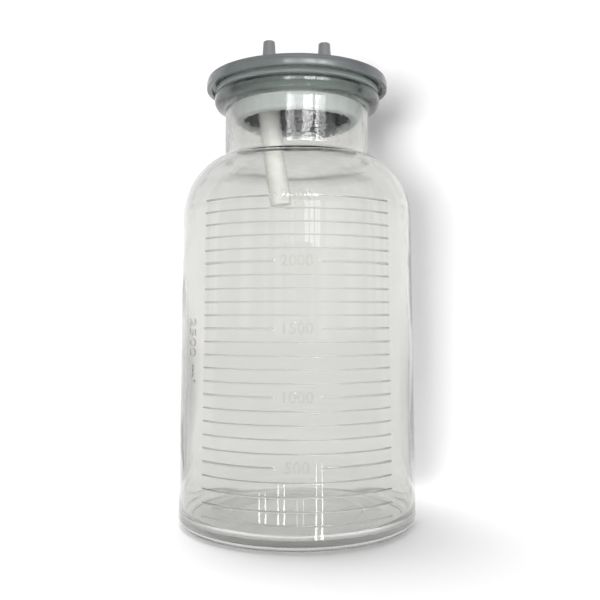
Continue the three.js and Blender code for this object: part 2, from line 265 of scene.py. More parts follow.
class Nodes:
    """A short way to add and link shader nodes in one material or world."""

    def __init__(self, owner):
        owner.use_nodes = True
        self.tree = owner.node_tree
        self.tree.nodes.clear()

    def add(self, kind, **inputs):
        node = self.tree.nodes.new(kind)
        for name, value in inputs.items():
            self.feed(node, name.replace("_", " "), value)
        return node

    def feed(self, node, socket, value):
        """Links or sets one input, which goes by its name or its number."""
        target = node.inputs[socket]
        if isinstance(value, bpy.types.NodeSocket):
            self.tree.links.new(value, target)
        else:
            target.default_value = value

    def object_place(self):
        return self.add("ShaderNodeTexCoord").outputs["Object"]

    def split(self, place):
        """The x, y and z of a place."""
        return self.add("ShaderNodeSeparateXYZ", Vector=place).outputs[:]

    def noise(self, scale, detail, roughness, place=None):
        vector = place or self.object_place()
        return self.add("ShaderNodeTexNoise", Vector=vector, Scale=scale, Detail=detail,
                        Roughness=roughness).outputs["Fac"]

    def ramp(self, value, low, high, low_to=0.0, high_to=1.0):
        return self.add("ShaderNodeMapRange", Value=value, From_Min=low, From_Max=high,
                        To_Min=low_to, To_Max=high_to).outputs["Result"]

    def tones(self, value, low, high, stops):
        """Greys along a value: stops are (value, grey), spaced out between low and high."""
        node = self.add("ShaderNodeValToRGB", Fac=self.ramp(value, low, high))
        ramp = node.color_ramp
        while len(ramp.elements) < len(stops):
            ramp.elements.new(0.5)
        for element, (at, tone) in zip(ramp.elements, stops):
            element.position = (at - low) / (high - low)
            element.color = grey(tone)
        return node.outputs["Color"]

    def numbered(self, kind, setting, choice, values):
        """Adds a node whose inputs go by number, as those of different types share names."""
        node = self.tree.nodes.new(kind)
        setattr(node, setting, choice)
        for socket, value in values.items():
            self.feed(node, socket, value)
        return node

    def mix_colour(self, share, first, second):
        values = {0: share, 6: first, 7: second}
        return self.numbered("ShaderNodeMix", "data_type", "RGBA", values).outputs[2]

    def maths(self, operation, first, second=0.0):
        values = {0: first, 1: second}
        return self.numbered("ShaderNodeMath", "operation", operation, values).outputs[0]

    def times(self, first, *others):
        for other in others:
            first = self.maths("MULTIPLY", first, other)
        return first

    def hypotenuse(self, first, second):
        squares = self.maths("ADD", self.times(first, first), self.times(second, second))
        return self.maths("SQRT", squares)

    def bump(self, height, strength, distance, normal=None):
        node = self.add("ShaderNodeBump", Height=height, Strength=strength, Distance=distance)
        if normal:
            self.tree.links.new(normal, node.inputs["Normal"])
        return node.outputs["Normal"]

    def path(self, name):
        return self.add("ShaderNodeLightPath").outputs[name]

    def mix_shader(self, share, first, second):
        node = self.tree.nodes.new("ShaderNodeMixShader")
        for socket, value in enumerate((share, first, second)):
            self.feed(node, socket, value)
        return node.outputs[0]

    def finish(self, shader, kind="ShaderNodeOutputMaterial"):
        node = self.tree.nodes.new(kind)
        self.tree.links.new(shader, node.inputs["Surface"])


def grey(value):
    return (value, value, value, 1.0)


def shaded(colour, share=1.0):
    return tuple(min(1.0, channel * share) for channel in colour) + (1.0,)


# ---- Materials ---------------------------------------------------------------------------


GLASS_TINT = (0.970, 0.971, 0.959, 1.0)
RIDGE_SHADE = (0.80, 0.81, 0.80, 1.0)
BEAD_SHADE = (0.17, 0.205, 0.19, 1.0)
RIDGE_FROST = 0.45
FAR_HAZE = 0.4
FILLET_Z = 217 * MM
FOOT_Z = 3.2 * MM
LAMPLIGHT_THROUGH = 0.73


def glass_material(name, frosted_ridges):
    """Clear pressed glass with a faint grey-green tint, slow waves and thin smears of handling.

    The raised lines are lightly frosted and tinted darker, which is painted shade; the thick bead
    is tinted dark, which is painted shade too; and the underside is milky inside its resting ring.
    """
    material = bpy.data.materials.new(name)
    nodes = Nodes(material)
    x, y, z = nodes.split(nodes.object_place())
    from_axis = nodes.hypotenuse(x, y)
    roughness = glass_roughness(nodes, y, z)
    tint = GLASS_TINT
    if frosted_ridges:
        # Painted shade: the frosted raised lines also get a darker tint.
        ridge = nodes.ramp(from_axis, JAR_R + 0.06 * MM, JAR_R + 0.16 * MM)
        roughness = nodes.maths("MAXIMUM", roughness, nodes.times(ridge, RIDGE_FROST))
        tint = nodes.mix_colour(ridge, tint, RIDGE_SHADE)
        # Painted shade: the thick bead gets a dark tint.
        in_bead = nodes.times(nodes.ramp(z, JAR_TOP - 10 * MM, JAR_TOP - 9 * MM),
                              nodes.ramp(from_axis, NECK_R + 0.3 * MM, NECK_R + 1 * MM))
        tint = nodes.mix_colour(in_bead, tint, BEAD_SHADE)
    above = nodes.ramp(z, 0.0, FOOT_Z, 0.35, 1.0)
    clearness = nodes.maths("MAXIMUM", above, nodes.ramp(from_axis, 60 * MM, 65 * MM))
    tint = nodes.mix_colour(clearness, grey(0.8), tint)
    glass = nodes.add("ShaderNodeBsdfPrincipled", Base_Color=tint, Roughness=roughness, IOR=1.5,
                      Transmission_Weight=clearness, Normal=glass_waves(nodes, z))
    for_lamps = nodes.add("ShaderNodeBsdfTransparent", Color=grey(LAMPLIGHT_THROUGH))
    nodes.finish(nodes.mix_shader(nodes.path("Is Shadow Ray"), glass.outputs[0],
                                  for_lamps.outputs[0]))
    return material


def glass_roughness(nodes, y, z):
    """Smears all over, a stippled foot, and a haze on the far side of the neck's fillet."""
    smears = nodes.ramp(nodes.noise(38.0, 5.0, 0.65), 0.55, 0.8, 0.0, 0.05)
    stippled = nodes.ramp(z, FOOT_Z / 2, FOOT_Z, 0.4, 0.0)
    from_fillet = nodes.maths("ABSOLUTE", nodes.maths("SUBTRACT", z, FILLET_Z))
    haze = nodes.times(nodes.ramp(from_fillet, 3 * MM, 8 * MM, FAR_HAZE, 0.0),
                       nodes.ramp(y, 8 * MM, 26 * MM))
    return nodes.maths("MAXIMUM", nodes.maths("MAXIMUM", smears, stippled), haze)


def glass_waves(nodes, z):
    """Slow waves, a fine ripple on them, and a stronger ripple in the neck."""
    normal = nodes.bump(nodes.noise(26.0, 2.0, 0.4), 0.35, 0.9 * MM)
    normal = nodes.bump(nodes.noise(170.0, 2.0, 0.5), 0.18, 0.06 * MM, normal)
    at_neck = nodes.ramp(z, SHOULDER_Z + 20 * MM, SHOULDER_Z + 40 * MM)
    return nodes.bump(nodes.noise(300.0, 3.0, 0.6), at_neck, 0.12 * MM, normal)


def plastic_material(name, colour, roughness):
    """Moulded plastic: fine orange peel, faint flow marks, and scuffs that dull the gloss."""
    material = bpy.data.materials.new(name)
    nodes = Nodes(material)
    flow = nodes.noise(60.0, 4.0, 0.6)
    tone = nodes.mix_colour(nodes.ramp(flow, 0.35, 0.65), shaded(colour, 0.92),
                            shaded(colour, 1.06))
    scuffs = nodes.noise(160.0, 4.0, 0.6)
    gloss = nodes.ramp(scuffs, 0.45, 0.75, roughness, roughness + 0.10)
    peel = nodes.bump(nodes.noise(420.0, 1.0, 0.4), 0.08, 0.02 * MM)
    plastic = nodes.add("ShaderNodeBsdfPrincipled", Base_Color=tone, Roughness=gloss, IOR=1.5,
                        Normal=peel)
    nodes.finish(plastic.outputs[0])
    return material


def silicone_material(name, colour, depth, roughness, through, painted_shade_above=None):
    """Milky silicone: light goes some way in and some gets through; satin with a dusty bloom.

    Above a given height it is darker: painted shade where the lid's rim shades the stopper's
    flange.
    """
    material = bpy.data.materials.new(name)
    nodes = Nodes(material)
    cloud = nodes.noise(70.0, 3.0, 0.5)
    tone = nodes.mix_colour(nodes.ramp(cloud, 0.35, 0.65), shaded(colour, 0.93), shaded(colour))
    if painted_shade_above:
        x, y, z = nodes.split(nodes.object_place())
        # Painted shade: the flange under the lid's rim is darkened above the jar's top.
        painted_shade = nodes.ramp(z, painted_shade_above - 0.4 * MM, painted_shade_above)
        tone = nodes.mix_colour(painted_shade, tone, (0.33, 0.37, 0.355, 1.0))
    bloom = nodes.noise(500.0, 4.0, 0.6)
    satin = nodes.ramp(bloom, 0.4, 0.7, roughness, roughness + 0.12)
    skin = nodes.bump(bloom, 0.08, 0.06 * MM)
    rubber = nodes.add("ShaderNodeBsdfPrincipled", Base_Color=tone, Roughness=satin, IOR=1.41,
                       Subsurface_Weight=1.0, Subsurface_Scale=depth, Normal=skin)
    rubber.inputs["Subsurface Radius"].default_value = (1.0, 1.0, 0.9)
    glow = nodes.add("ShaderNodeBsdfTranslucent", Color=tone)
    nodes.finish(nodes.mix_shader(through, rubber.outputs[0], glow.outputs[0]))
    return material


def black_rubber_material():
    material = bpy.data.materials.new("black_rubber")
    nodes = Nodes(material)
    dust = nodes.noise(300.0, 5.0, 0.7)
    tone = nodes.mix_colour(nodes.ramp(dust, 0.5, 0.8), grey(0.018), grey(0.05))
    rough = nodes.ramp(dust, 0.3, 0.8, 0.55, 0.8)
    rubber = nodes.add("ShaderNodeBsdfPrincipled", Base_Color=tone, Roughness=rough,
                       Normal=nodes.bump(dust, 0.2, 0.08 * MM))
    nodes.finish(rubber.outputs[0])
    return material


# ---- Glass jar ---------------------------------------------------------------------------


def along(start, degrees, distance):
    angle = math.radians(degrees)
    return start[0] + distance * math.cos(angle), start[1] + distance * math.sin(angle)


SHOULDER_LOWER = (JAR_R - LOWER_ARC, SHOULDER_Z)
SHOULDER_UPPER = along(SHOULDER_LOWER, LOWER_ARC_DEG, LOWER_ARC - UPPER_ARC)
SHOULDER_FILLET = along(SHOULDER_UPPER, UPPER_ARC_DEG, UPPER_ARC + NECK_FILLET)
NECK_R = SHOULDER_FILLET[0] - NECK_FILLET
NECK_BORE = NECK_R - WALL
BODY_BORE = JAR_R - WALL


def shoulder_line(inset):
    lower = arc(*SHOULDER_LOWER, LOWER_ARC - inset, 0, LOWER_ARC_DEG, 14)
    upper = arc(*SHOULDER_UPPER, UPPER_ARC - inset, LOWER_ARC_DEG, UPPER_ARC_DEG, 7)
    hollow = arc(*SHOULDER_FILLET, NECK_FILLET + inset, UPPER_ARC_DEG + 180, 180, 12)
    straight = [(hollow[-1][0], hollow[-1][1] + MM)]
    return lower + upper[1:] + hollow[1:] + straight


def graduation_rows():
    """Rows of the outer wall with their rise: [(z, rise, has a gap for a numeral)]."""
    rows = []
    for line in range(1, LINE_COUNT + 1):
        numbered = line % LINES_PER_NUMERAL == 0
        half = (0.75 if numbered else 0.55) * MM
        rise = (0.45 if numbered else 0.4) * MM
        z = LINE_FIRST + LINE_PITCH * (line - 1)
        for step, share in ((-1, 0.0), (-0.55, 0.8), (0, 1.0), (0.55, 0.8), (1, 0.0)):
            rows.append((z + half * step, rise * share, numbered))
    return rows


def base_outline():
    dome = [(REST_INNER_R * share, PUSH_UP * (1 - share ** 4)) for share in
            (0.0, 0.3, 0.55, 0.75, 0.88, 0.96)]
    ring = [(REST_INNER_R + 2 * MM, 0.0), (REST_INNER_R + 5 * MM, 0.0)]
    return dome + ring


def jar_outline():
    """The jar's closed outline from the middle of its underside, out, up and down the inside."""
    heel = arc(JAR_R - HEEL_ROUND, HEEL_ROUND, HEEL_ROUND, -90, 0, 10)
    outside = base_outline() + heel
    lines = graduation_rows()
    lower_lines = [row for row in lines if row[0] < SHOULDER_Z - MM]
    upper_lines = [row for row in lines if row[0] >= SHOULDER_Z - MM]
    rows = [(r, z, 0.0, False) for r, z in outside]
    rows += [(JAR_R, z, rise, gap) for z, rise, gap in lower_lines]
    rows += merge_lines(shoulder_line(0), upper_lines)
    rows += [(r, z, 0.0, False) for r, z in bead_outline() + inside_outline()]
    return rows


def merge_lines(curve, lines):
    """Puts the rows of the lines that stand on the shoulder's curve in among its own points."""
    first, last = lines[0][0] - MM, lines[-1][0] + MM
    below = [(r, z, 0.0, False) for r, z in curve if z <= first]
    above = [(r, z, 0.0, False) for r, z in curve if z >= last]
    within = []
    for z, rise, gap in lines:
        height = max(0.0, z - SHOULDER_Z)
        r = SHOULDER_LOWER[0] + math.sqrt(LOWER_ARC ** 2 - height ** 2)
        within.append((r, z, rise, gap))
    return below + within + above


def bead_outline():
    bead_z = JAR_TOP - BEAD_ROUND_DROP
    corners = [
        (NECK_R, JAR_TOP - BEAD_HEIGHT - 14 * MM, 0),
        (NECK_R, JAR_TOP - BEAD_HEIGHT - 2.2 * MM, 0),
        (NECK_R, JAR_TOP - BEAD_HEIGHT, 1.0 * MM),
    ]
    corners += [(r, z, 0) for r, z in arc(BEAD_R - BEAD_ROUND, bead_z, BEAD_ROUND, -62, 0, 9)]
    corners += [
        (BEAD_R, JAR_TOP, 1.6 * MM),
        (NECK_BORE, JAR_TOP, 1.6 * MM),
        (NECK_BORE, JAR_TOP - 3.2 * MM, 0),
        (NECK_BORE, JAR_TOP - 16 * MM, 0),
    ]
    return rounded(corners, closed=False)


def inside_outline():
    wall_rows = 26
    wall = [(BODY_BORE, SHOULDER_Z - (SHOULDER_Z - FLOOR_Z - FLOOR_ROUND) * step / wall_rows)
            for step in range(1, wall_rows)]
    corner = arc(BODY_BORE - FLOOR_ROUND, FLOOR_Z + FLOOR_ROUND, FLOOR_ROUND, 0, -90, 12)
    floor_r = BODY_BORE - FLOOR_ROUND
    floor = [(floor_r * share, FLOOR_Z + (FLOOR_CROWN - FLOOR_Z) * (1 - share ** 2)) for share in
             (0.9, 0.75, 0.6, 0.45, 0.3, 0.15, 0.0)]
    return list(reversed(shoulder_line(WALL))) + wall + corner + floor


def front_angle(angle):
    """Degrees round from the side with the scale, which faces -Y; left of it is negative."""
    return (math.degrees(angle) + 90 + 180) % 360 - 180


def line_share(degrees, gap):
    """How much of a line's full rise is left at an angle, with its middle right worn down."""
    fade_in, fade_out = FADE_DEG
    share = 1 - smoothstep(LINE_HALF_DEG + fade_in, LINE_HALF_DEG + fade_out, abs(degrees))
    if gap:
        share *= smoothstep(NUMERAL_GAP_DEG + fade_in, NUMERAL_GAP_DEG + fade_out, abs(degrees))
    worn = smoothstep(-4, 2, degrees) * (1 - smoothstep(16, 24, degrees))
    return share * (1 - WORN_SHARE * worn)


def build_jar():
    rows = jar_outline()
    outer_rows = max(index for index, row in enumerate(rows) if row[2] > 0) + 1

    def shift(row, angle, r, z):
        rise, gap = rows[row][2], rows[row][3]
        if rise:
            r += rise * line_share(front_angle(angle), gap)
        on_heel = row < outer_rows and z < 1.2 * MM and r > REST_INNER_R + 6 * MM
        if on_heel and round(angle / TURN * JAR_COLUMNS) % 2:
            z += KNURL_HEIGHT
        if row > outer_rows and 20 * MM < r < BODY_BORE + 0.1 * MM:
            flow = noise.noise(Vector((math.cos(angle) * 2.2, math.sin(angle) * 2.2, z * 26)))
            r += flow * WAVE_HEIGHT
        return r, z

    profile = [(r, z) for r, z, rise, gap in rows]
    jar = turned("glass_jar_body", profile, JAR_COLUMNS, closed=False, shift=shift, sharp_deg=50)
    mark_line_edges(jar, rows)
    return jar


def mark_line_edges(jar, rows):
    """Makes the foot of each raised line crisp, so that the plain wall between stays true."""
    feet = {index for index, row in enumerate(rows) if is_line_foot(rows, index)}
    row_of = {}
    vertex = 0
    for index, row in enumerate(rows):
        count = 1 if row[0] <= ON_AXIS else JAR_COLUMNS
        for step in range(count):
            row_of[vertex + step] = index
        vertex += count
    sharp = jar.data.attributes.get("sharp_edge")
    if sharp is None:
        sharp = jar.data.attributes.new("sharp_edge", "BOOLEAN", "EDGE")
    for edge in jar.data.edges:
        first, second = (row_of[index] for index in edge.vertices)
        if first == second and first in feet:
            sharp.data[edge.index].value = True


def is_line_foot(rows, index):
    if index == 0 or index == len(rows) - 1 or rows[index][2] > 0:
        return False
    return rows[index - 1][2] > 0 or rows[index + 1][2] > 0


def text_mesh(text, height, depth):
    """A mesh of plain upright characters, centred on the origin, in the XY plane."""
    curve = bpy.data.curves.new("numeral", "FONT")
    curve.body = text
    curve.size = height / 0.70
    curve.align_x = "CENTER"
    curve.align_y = "CENTER"
    curve.extrude = depth / 2
    curve.bevel_depth = 0.09 * MM
    curve.bevel_resolution = 1
    curve.resolution_u = 5
    curve.space_character = 1.05
    holder = bpy.data.objects.new("numeral", curve)
    bpy.context.scene.collection.objects.link(holder)
    graph = bpy.context.evaluated_depsgraph_get()
    mesh = bpy.data.meshes.new_from_object(holder.evaluated_get(graph))
    bpy.data.objects.remove(holder)
    return mesh


def wrap(mesh, z, turn_deg, upright):
    """Bends flat characters on to the jar's wall; upright=False turns them to read downward."""
    depth = max(vertex.co.z for vertex in mesh.vertices)
    for vertex in mesh.vertices:
        x, y = (vertex.co.x, vertex.co.y) if upright else (vertex.co.y, -vertex.co.x)
        angle = math.radians(-90 + turn_deg) + x / JAR_R
        r = JAR_R + 0.02 * MM + depth + vertex.co.z
        vertex.co = (r * math.cos(angle), r * math.sin(angle), z + y)


def build_numerals():
    meshes = []
    for line in range(LINES_PER_NUMERAL, LINE_COUNT + 1, LINES_PER_NUMERAL):
        mesh = text_mesh(str(line * MILLILITRES_PER_LINE), NUMERAL_HEIGHT, 0.22 * MM)
        wrap(mesh, LINE_FIRST + LINE_PITCH * (line - 1), 0, True)
        meshes.append(mesh)
    capacity = text_mesh("2500 ml", CAPACITY_HEIGHT, 0.3 * MM)
    wrap(capacity, (LINE_FIRST + LINE_LAST) / 2 + 2 * MM, -CAPACITY_TURN_DEG, False)
    meshes.append(capacity)
    return join_meshes("jar_numerals", meshes)


def join_meshes(name, meshes):
    vertices, faces = [], []
    for mesh in meshes:
        start = len(vertices)
        vertices += [tuple(vertex.co) for vertex in mesh.vertices]
        faces += [[start + index for index in face.vertices] for face in mesh.polygons]
        bpy.data.meshes.remove(mesh)
    return make_piece(name, vertices, faces, 35)


# ---- Stopper and lid ---------------------------------------------------------------------


def build_seal():
    low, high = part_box("seal_ring")
    flange_r = outer_radius("seal_ring")
    flange_foot = JAR_TOP + GAP
    plug_r, lip_r, bore_r = 41.3 * MM, 33.3 * MM, 36.6 * MM
    lip_top = low.z + 3.9 * MM
    corners = [
        (lip_r, low.z, 2.4 * MM),
        (39.4 * MM, low.z, 2.6 * MM),
        (41.2 * MM, JAR_TOP - 3 * MM, 3 * MM),
        (plug_r, flange_foot, 0.3 * MM),
        (flange_r, flange_foot, 0.9 * MM),
        (flange_r, high.z, 1.1 * MM),
        (bore_r, high.z, 0.4 * MM),
        (bore_r, lip_top, 0.3 * MM),
        (lip_r, lip_top, 0.6 * MM),
    ]
    return turned("silicone_stopper", rounded(corners), TURNED_COLUMNS, closed=True)


def build_lid():
    low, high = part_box("lid_cover")
    skirt_bore, skirt_r = 34.5 * MM, 36.3 * MM
    rim_bore, rim_r = 53.7 * MM, 57 * MM
    upper_r = rim_r - 0.5 * MM
    rim_foot = high.z - 7 * MM
    step_z = high.z - 2.7 * MM
    plate_top = high.z - 1.2 * MM
    plate_foot = high.z - 5 * MM
    corners = [
        (0, plate_foot, 0),
        (skirt_bore, plate_foot, 1.0 * MM),
        (skirt_bore, low.z, 0.5 * MM),
        (skirt_r, low.z, 0.5 * MM),
        (skirt_r, plate_foot, 0.5 * MM),
        (rim_bore, plate_foot, 0.6 * MM),
        (rim_bore, rim_foot, 0.4 * MM),
        (rim_r, rim_foot, 0.7 * MM),
        (rim_r, step_z, 0.25 * MM),
        (upper_r, step_z + 0.15 * MM, 0.12 * MM),
        (upper_r, high.z, 1.4 * MM),
        (52.4 * MM, high.z, 0.5 * MM),
        (51.2 * MM, plate_top, 0.6 * MM),
        (0, plate_top, 0),
    ]
    lid = turned("lid_cover_shell", rounded(corners, closed=False), TURNED_COLUMNS, closed=False)
    drills = [drill(port, plate_foot, plate_top) for port in (INLET, OUTLET)]
    cut(lid, drills)
    return lid


def drill(port, low, high):
    reach = 3 * MM
    hole_r = SHANK_R + GAP
    foot, top = low - reach, high + reach
    corners = [(0, foot, 0), (hole_r, foot, 0), (hole_r, top, 0), (0, top, 0)]
    return fitting("cutter", corners, port, closed=False)


def fitting(name, corners, centre, closed=True, shift=None):
    """A small turned piece about the upright axis of one of the ports."""
    place = (centre.x, centre.y, 0)
    return turned(name, rounded(corners, closed), SMALL_COLUMNS, closed, place, shift)


def flat_ring(name, node, inner, outer, inner_round, outer_round):
    low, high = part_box(node)
    corners = [
        (inner, low.z, inner_round),
        (outer, low.z, outer_round),
        (outer, high.z, outer_round),
        (inner, high.z, inner_round),
    ]
    return fitting(name, corners, centre_of(node))


def connector_upper(top, collar_foot):
    """The nipple and collar, from the collar's foot out and up to the mouth of the bore."""
    collar_r = outer_radius("vacuum_connector")
    collar_top = collar_foot + 3 * MM
    return [
        (SHANK_R, collar_foot, 0.2 * MM),
        (collar_r, collar_foot, 0.3 * MM),
        (collar_r, collar_top, 0.6 * MM),
        (5.1 * MM, collar_top, 0.8 * MM),
        (3.75 * MM, top, 1.0 * MM),
        (LUMEN_R, top, 0.35 * MM),
    ]


def build_connector(name, node, lower_end):
    low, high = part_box(node)
    collar_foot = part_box("inlet_washer")[1].z + GAP
    corners = lower_end(low.z) + connector_upper(high.z, collar_foot)
    return fitting(name, corners, centre_of(node))


def spigot_end(low):
    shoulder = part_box("inlet_nut")[0].z
    return [
        (LUMEN_R, low, 0.2 * MM),
        (SPIGOT_R, low, 0.6 * MM),
        (SPIGOT_R, shoulder, 0.1 * MM),
        (SHANK_R, shoulder, 0.2 * MM),
    ]


def plain_end(low):
    return [(LUMEN_R, low, 0.2 * MM), (SHANK_R, low, 0.4 * MM)]


def build_washer(name, node):
    return flat_ring(name, node, SHANK_R + GAP, outer_radius(node), 0.2 * MM, 0.35 * MM)


def build_nut(name, node):
    low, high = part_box(node)
    flats = 15 * MM
    corners = [
        (SHANK_R + GAP, low.z, 0.3 * MM),
        (flats / 2, low.z, 0.5 * MM),
        (flats / 2, high.z, 0.5 * MM),
        (SHANK_R + GAP, high.z, 0.3 * MM),
    ]
    return fitting(name, corners, centre_of(node), shift=hexagon(flats))


# ---- Drop tube ---------------------------------------------------------------------------


def tube_lean(depth_share):
    """How far the tube has leant over, from 0 to 1, at a share of its free length."""
    ease = 0.1
    return (math.hypot(depth_share, ease) - ease) / (math.hypot(1, ease) - ease)


def build_tube():
    low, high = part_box("drop_tube")
    outer_r, bore_r = 6.6 * MM, SPIGOT_R + GAP
    straight_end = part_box("inlet_connector")[0].z - MM
    tilt_cos = 0.991
    sweep = high.x - INLET.x - outer_r * tilt_cos
    end_z = low.z + outer_r * math.sqrt(1 - tilt_cos ** 2)
    steps = 48
    centres = [Vector((INLET.x, INLET.y, high.z))]
    for step in range(steps + 1):
        share = step / steps
        centre = Vector((INLET.x, INLET.y, straight_end + (end_z - straight_end) * share))
        centres.append(centre + LID_AXIS * (sweep * tube_lean(share)))
    return sweep_pipe("silicone_drop_tube", centres, outer_r, bore_r)


def sweep_pipe(name, centres, outer_r, bore_r):
    """A pipe with rounded lips along a line of centres that lies in one upright plane."""
    sides = 72
    lip = 0.35 * MM
    rings = [(0, bore_r + lip, 0), (0, outer_r - lip, 0), (0, outer_r - 0.1 * MM, 0.1 * MM)]
    rings += [(index, outer_r, 0) for index in range(1, len(centres) - 1)]
    last = len(centres) - 1
    rings += [(last, outer_r - 0.1 * MM, 0.1 * MM), (last, outer_r - lip, 0),
              (last, bore_r + lip, 0), (last, bore_r + 0.1 * MM, 0.1 * MM)]
    rings += [(index, bore_r, 0) for index in range(len(centres) - 2, 0, -1)]
    rings += [(0, bore_r + 0.1 * MM, 0.1 * MM)]
    vertices, faces = [], []
    for index, radius, inset in rings:
        forward = tangent_at(centres, index)
        across = SIDE_AXIS
        outward = across.cross(forward)
        end_sign = 1 if index == 0 else -1
        centre = centres[index] + forward * (inset * end_sign)
        for side in range(sides):
            angle = TURN * side / sides
            offset = outward * (radius * math.cos(angle)) + across * (radius * math.sin(angle))
            vertices.append(tuple(centre + offset))
    for ring in range(len(rings)):
        after_ring = (ring + 1) % len(rings)
        for side in range(sides):
            after = (side + 1) % sides
            faces.append((ring * sides + side, after_ring * sides + side,
                          after_ring * sides + after, ring * sides + after))
    piece = make_piece(name, vertices, faces, 60)
    return face_outward(piece)


def tangent_at(centres, index):
    first = centres[max(0, index - 1)]
    second = centres[min(len(centres) - 1, index + 1)]
    return (second - first).normalized()


def face_outward(piece):
    """Turns the faces of a closed piece over if its volume comes out negative."""
    volume = 0.0
    mesh = piece.data
    for face in mesh.polygons:
        a, b, c = (mesh.vertices[index].co for index in face.vertices[:3])
        volume += a.dot(b.cross(c))
        if len(face.vertices) == 4:
            d = mesh.vertices[face.vertices[3]].co
            volume += a.dot(c.cross(d))
    if volume < 0:
        mesh.flip_normals()
    return piece


# ---- Overflow valve ----------------------------------------------------------------------


def build_valve_housing():
    low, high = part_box("valve_housing")
    roof = high.z - 3.6 * MM
    corners = [
        (CHAMBER_R, low.z, 0.2 * MM),
        (VALVE_R, low.z, 0.35 * MM),
        (VALVE_R, high.z, 0.6 * MM),
        (SHANK_R + GAP, high.z, 0.2 * MM),
        (SHANK_R + GAP, roof, 0.1 * MM),
        (CHAMBER_R, roof, 0.2 * MM),
    ]
    housing = fitting("valve_housing_body", corners, OUTLET)
    middle = (OUTLET.x, OUTLET.y, low.z + 9.5 * MM)
    slots = [box_solid(middle, axis, 9 * MM, 1.7 * MM, 3.5 * MM) for axis in (LID_AXIS, SIDE_AXIS)]
    cut(housing, slots)
    return housing


def build_valve_seat():
    rounding = 0.3 * MM
    return flat_ring("valve_seat_disc", "valve_seat", 1.6 * MM, CHAMBER_R - GAP, rounding,
                     rounding)


def build_valve_float():
    low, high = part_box("valve_float")
    float_r = 4.9 * MM
    corners = [
        (0, low.z, 0),
        (float_r, low.z, 0.6 * MM),
        (float_r, high.z - 1.2 * MM, 0.5 * MM),
        (2.4 * MM, high.z, 0.8 * MM),
        (0, high.z, 0),
    ]
    return fitting("valve_float_plug", corners, OUTLET, closed=False)


def build_valve_cap():
    low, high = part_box("valve_cap")
    hex_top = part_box("valve_housing")[0].z - GAP
    flats = 12.8 * MM
    hole_r, plug_r = 2 * MM, CHAMBER_R - GAP
    corners = [
        (hole_r, low.z, 0.4 * MM),
        (flats / 2, low.z, 0.7 * MM),
        (flats / 2, hex_top, 0.3 * MM),
        (plug_r, hex_top, 0.05 * MM),
        (plug_r, high.z, 0.4 * MM),
        (hole_r, high.z, 0.3 * MM),
    ]
    hexagonal = hexagon(flats)

    def shift(row, angle, r, z):
        return hexagonal(row, angle, r, z) if r > plug_r + 0.1 * MM else (r, z)

    return fitting("valve_cap_hex", corners, OUTLET, shift=shift)


# ---- Put the pieces together -------------------------------------------------------------


def install(piece, body, slot, material, *nodes):
    piece.data.materials.clear()
    piece.data.materials.append(material)
    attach(piece, body)
    if nodes:
        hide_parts(*nodes)


def build_object():
    glass = glass_material("clear_glass", True)
    numeral_glass = glass_material("numeral_glass", False)
    grey_plastic = plastic_material("grey_plastic", (0.077, 0.084, 0.086), 0.19)
    # Painted light: the nipples get a lighter copy of the lid's grey plastic, for the brighter
    # light they catch.
    lit_port_plastic = plastic_material("lit_port_plastic", (0.142, 0.148, 0.153), 0.22)
    white_plastic = plastic_material("float_plastic", (0.82, 0.81, 0.76), 0.38)
    # The stopper's flange, above the jar's top, gets painted shade from the lid's rim.
    silicone = silicone_material("stopper_silicone", (0.69, 0.73, 0.715), 4 * MM, 0.32, 0.35,
                                 painted_shade_above=JAR_TOP + GAP)
    tubing = silicone_material("tube_silicone", (0.89, 0.89, 0.86), 2 * MM, 0.34, 0.3)
    rubber = black_rubber_material()

    install(build_jar(), "jar", "glass", glass, "glass_jar")
    install(build_numerals(), "jar", "glass", numeral_glass)
    install(build_seal(), "seal", "silicone", silicone, "seal_ring")
    install(build_lid(), "lid", "grey_plastic", grey_plastic, "lid_cover")
    inlet = build_connector("inlet_nipple", "inlet_connector", spigot_end)
    install(inlet, "lid", "grey_plastic", lit_port_plastic, "inlet_connector")
    outlet = build_connector("vacuum_nipple", "vacuum_connector", plain_end)
    install(outlet, "lid", "grey_plastic", lit_port_plastic, "vacuum_connector")
    for side in ("inlet", "vacuum"):
        washer = build_washer(side + "_gasket", side + "_washer")
        install(washer, "lid", "black_rubber", rubber, side + "_washer")
        nut = build_nut(side + "_locknut", side + "_nut")
        install(nut, "lid", "grey_plastic", grey_plastic, side + "_nut")
    install(build_tube(), "tube", "tubing", tubing, "drop_tube")
    install(build_valve_housing(), "lid", "grey_plastic", grey_plastic, "valve_housing")
    install(build_valve_seat(), "lid", "black_rubber", rubber, "valve_seat")
    install(build_valve_float(), "float", "float_plastic", white_plastic, "valve_float")
    install(build_valve_cap(), "lid", "grey_plastic", grey_plastic, "valve_cap")


# ---- Studio ------------------------------------------------------------------------------

CAMERA_PLACE = Vector((0, -471.2 * MM, 119.3 * MM))
CAMERA_PITCH_DEG = 6.76
FOCAL_PIXELS = 760
FRAME_PIXELS = 600
SENSOR = 36.0
SHIFT_X = 0.0052
SHIFT_Y = -0.12
BACKDROP_Y = 83 * MM
# Tones that the wall and the table glow with through the glass; they carry painted light and
# shade.
WALL_TONE = 0.82
TABLE_TONE = 0.60
# Painted shade along the table's far edge.
TABLE_EDGE_SHADE = 0.32
TABLE_END_Y = 60.5 * MM
SEEN_REACH = 0.22
FLOOR_DROP = 0.3 * MM

